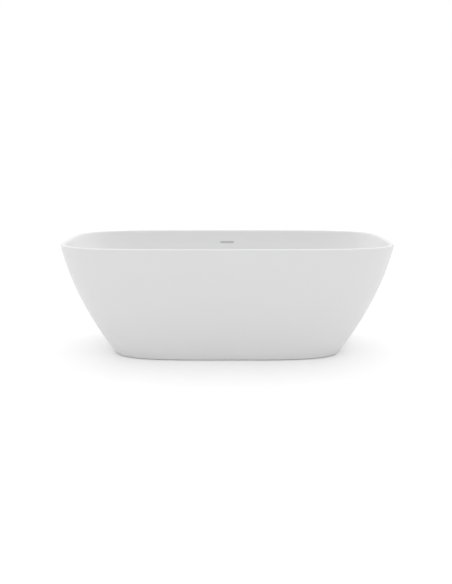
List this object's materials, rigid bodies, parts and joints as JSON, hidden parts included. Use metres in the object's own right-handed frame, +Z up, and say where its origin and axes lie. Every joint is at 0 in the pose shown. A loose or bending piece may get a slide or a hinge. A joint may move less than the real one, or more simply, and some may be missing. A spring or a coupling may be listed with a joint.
{
  "type": "freestanding bathtub",
  "caption": "Freestanding double-skinned bathtub with a flared rounded-rectangular body, thin flat rim, slot overflow in the back wall, click waste and levelling feet.",
  "frame": {"origin": "on the floor under the middle of the tub, on the waste's axis", "axes": "+X along the tub, +Y to the back wall with the overflow slot, +Z up"},
  "size_m": [1.7, 0.75, 0.58],
  "materials": {
    "skirt_acrylic": "satin white sheet",
    "basin_acrylic": "satin white sheet",
    "chipboard": "raw chipboard",
    "galvanised_steel": "galvanised",
    "zinc_steel": "zinc plated",
    "black_plastic": "moulded, fine grain",
    "pad_plastic": "moulded, fine grain",
    "chrome_plate": "polished plate",
    "trim_steel": "satin",
    "rubber": "matt black",
    "brass": "turned",
    "white_plastic": "moulded",
    "stainless_steel": "bright drawn"
  },
  "bodies": {
    "tub": {"outer_skirt": "skirt_acrylic", "inner_basin": "basin_acrylic", "base_board": "chipboard", "support_bar_left": "galvanised_steel", "support_bar_middle": "galvanised_steel", "support_bar_right": "galvanised_steel", "skirt_bracket_1": "galvanised_steel", "skirt_bracket_2": "galvanised_steel", "skirt_bracket_3": "galvanised_steel", "skirt_bracket_4": "galvanised_steel", "skirt_bracket_5": "galvanised_steel", "skirt_bracket_6": "galvanised_steel", "board_screws": "zinc_steel", "bracket_screws": "zinc_steel", "weld_nuts": "zinc_steel", "lock_nuts": "zinc_steel", "bar_end_caps": "black_plastic", "overflow_collar": "black_plastic", "waste_nut": "black_plastic", "overflow_housing": "black_plastic", "waste_flange": "chrome_plate", "overflow_trim": "trim_steel", "waste_top_gasket": "rubber", "waste_bottom_gasket": "rubber", "collar_gasket": "rubber", "overflow_gasket": "rubber", "click_cartridge": "white_plastic", "overflow_hose": "white_plastic", "click_spring": "stainless_steel", "overflow_screws": "stainless_steel", "hose_clamp_upper": "stainless_steel", "hose_clamp_lower": "stainless_steel"},
    "plug": {"plug_cap": "chrome_plate", "plug_seal": "rubber", "plug_stem": "brass"},
    "pad_1": {"foot_pad_1": "pad_plastic"},
    "stud_1": {"foot_stud_1": "zinc_steel"},
    "pad_2": {"foot_pad_2": "pad_plastic"},
    "stud_2": {"foot_stud_2": "zinc_steel"},
    "pad_3": {"foot_pad_3": "pad_plastic"},
    "stud_3": {"foot_stud_3": "zinc_steel"},
    "pad_4": {"foot_pad_4": "pad_plastic"},
    "stud_4": {"foot_stud_4": "zinc_steel"},
    "pad_5": {"foot_pad_5": "pad_plastic"},
    "stud_5": {"foot_stud_5": "zinc_steel"},
    "pad_6": {"foot_pad_6": "pad_plastic"},
    "stud_6": {"foot_stud_6": "zinc_steel"}
  },
  "joints": [
    {"name": "plug_lift", "type": "slide", "parent": "tub", "child": "plug", "axis": [0, 0, 1], "range_m": [0, 0.008], "deforming": ["click_spring"]},
    {"name": "foot_1_height", "type": "slide", "parent": "tub", "child": "pad_1", "axis": [0, 0, 1], "range_m": [-0.014, 0.0035]},
    {"name": "foot_1_turn", "type": "hinge", "parent": "pad_1", "child": "stud_1", "pos_m": [-0.4, -0.19339, 0.06], "axis": [0, 0, 1], "range_deg": [-2880, 720]},
    {"name": "foot_2_height", "type": "slide", "parent": "tub", "child": "pad_2", "axis": [0, 0, 1], "range_m": [-0.014, 0.0035]},
    {"name": "foot_2_turn", "type": "hinge", "parent": "pad_2", "child": "stud_2", "pos_m": [-0.4, 0.19339, 0.06], "axis": [0, 0, 1], "range_deg": [-2880, 720]},
    {"name": "foot_3_height", "type": "slide", "parent": "tub", "child": "pad_3", "axis": [0, 0, 1], "range_m": [-0.014, 0.0035]},
    {"name": "foot_3_turn", "type": "hinge", "parent": "pad_3", "child": "stud_3", "pos_m": [0.13, -0.19339, 0.06], "axis": [0, 0, 1], "range_deg": [-2880, 720]},
    {"name": "foot_4_height", "type": "slide", "parent": "tub", "child": "pad_4", "axis": [0, 0, 1], "range_m": [-0.014, 0.0035]},
    {"name": "foot_4_turn", "type": "hinge", "parent": "pad_4", "child": "stud_4", "pos_m": [0.13, 0.19339, 0.06], "axis": [0, 0, 1], "range_deg": [-2880, 720]},
    {"name": "foot_5_height", "type": "slide", "parent": "tub", "child": "pad_5", "axis": [0, 0, 1], "range_m": [-0.014, 0.0035]},
    {"name": "foot_5_turn", "type": "hinge", "parent": "pad_5", "child": "stud_5", "pos_m": [0.4, -0.19339, 0.06], "axis": [0, 0, 1], "range_deg": [-2880, 720]},
    {"name": "foot_6_height", "type": "slide", "parent": "tub", "child": "pad_6", "axis": [0, 0, 1], "range_m": [-0.014, 0.0035]},
    {"name": "foot_6_turn", "type": "hinge", "parent": "pad_6", "child": "stud_6", "pos_m": [0.4, 0.19339, 0.06], "axis": [0, 0, 1], "range_deg": [-2880, 720]}
  ],
  "couplings": [
    {"joint": "foot_1_turn", "follows": "foot_1_height", "rad_per_m": 3590.4},
    {"joint": "foot_2_turn", "follows": "foot_2_height", "rad_per_m": 3590.4},
    {"joint": "foot_3_turn", "follows": "foot_3_height", "rad_per_m": 3590.4},
    {"joint": "foot_4_turn", "follows": "foot_4_height", "rad_per_m": 3590.4},
    {"joint": "foot_5_turn", "follows": "foot_5_height", "rad_per_m": 3590.4},
    {"joint": "foot_6_turn", "follows": "foot_6_height", "rad_per_m": 3590.4}
  ]
}
